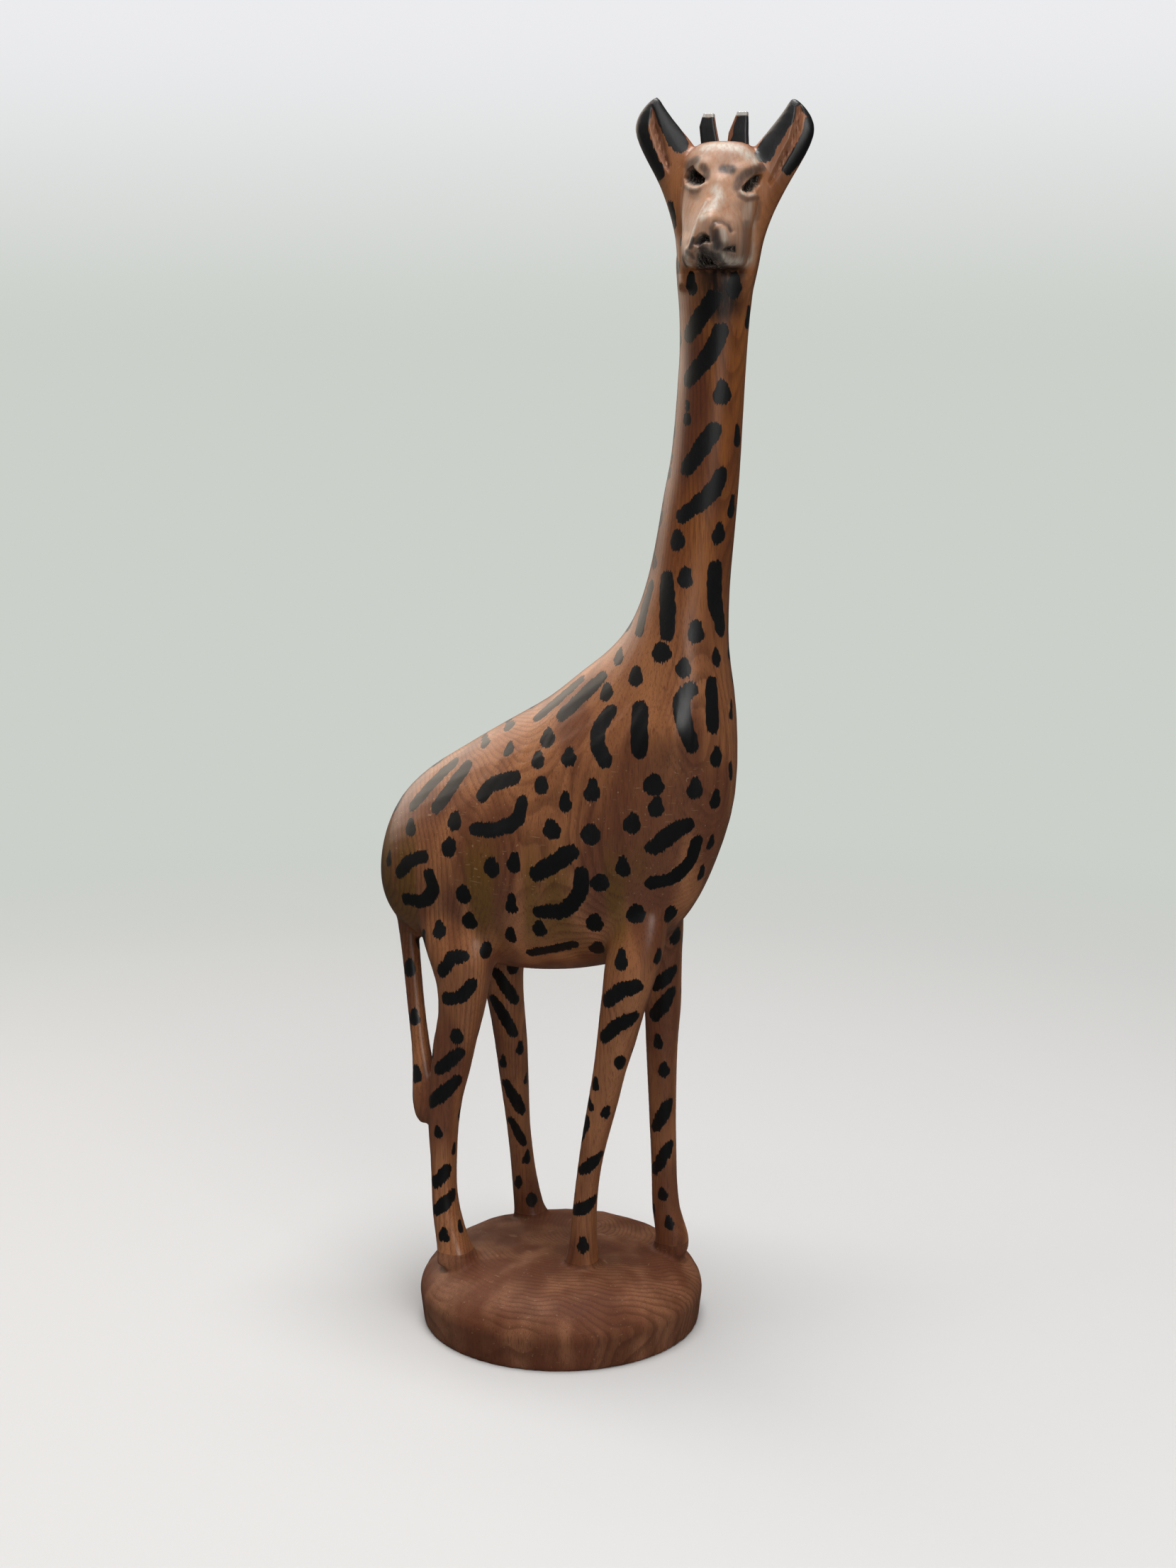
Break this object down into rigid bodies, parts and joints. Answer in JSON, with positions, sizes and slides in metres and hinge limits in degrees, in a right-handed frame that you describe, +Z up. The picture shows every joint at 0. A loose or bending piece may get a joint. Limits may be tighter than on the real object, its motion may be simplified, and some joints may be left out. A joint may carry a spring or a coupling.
{
  "type": "carved giraffe statue",
  "caption": "Standing giraffe carved in brown hardwood on a round base, long neck upright, head turned to its right side, tail rejoining a hind leg, painted with black brush marks.",
  "frame": {"origin": "middle of the round base's flat underside, on the table", "axes": "+Z up; +X the way the body faces; +Y to the giraffe's left, so the flank seen first is on -Y"},
  "size_m": [0.1838, 0.122, 0.5074],
  "materials": {
    "base_wood": "waxed hardwood, satin, chisel-cut top",
    "spotted_wood": "waxed hardwood with black brush marks, satin",
    "face_wood": "waxed hardwood under a pale bloom of wax, satin",
    "ear_wood": "hardwood with black painted margins and a raw carved groove",
    "horn_paint": "black paint on raw hardwood"
  },
  "bodies": {
    "root": {"base": "base_wood", "torso": "spotted_wood", "neck": "spotted_wood", "head": "face_wood", "ear_right": "ear_wood", "ear_left": "ear_wood", "horn_right": "horn_paint", "horn_left": "horn_paint", "leg_front_right": "spotted_wood", "leg_front_left": "spotted_wood", "leg_hind_right": "spotted_wood", "leg_hind_left": "spotted_wood", "tail": "spotted_wood"}
  },
  "joints": []
}
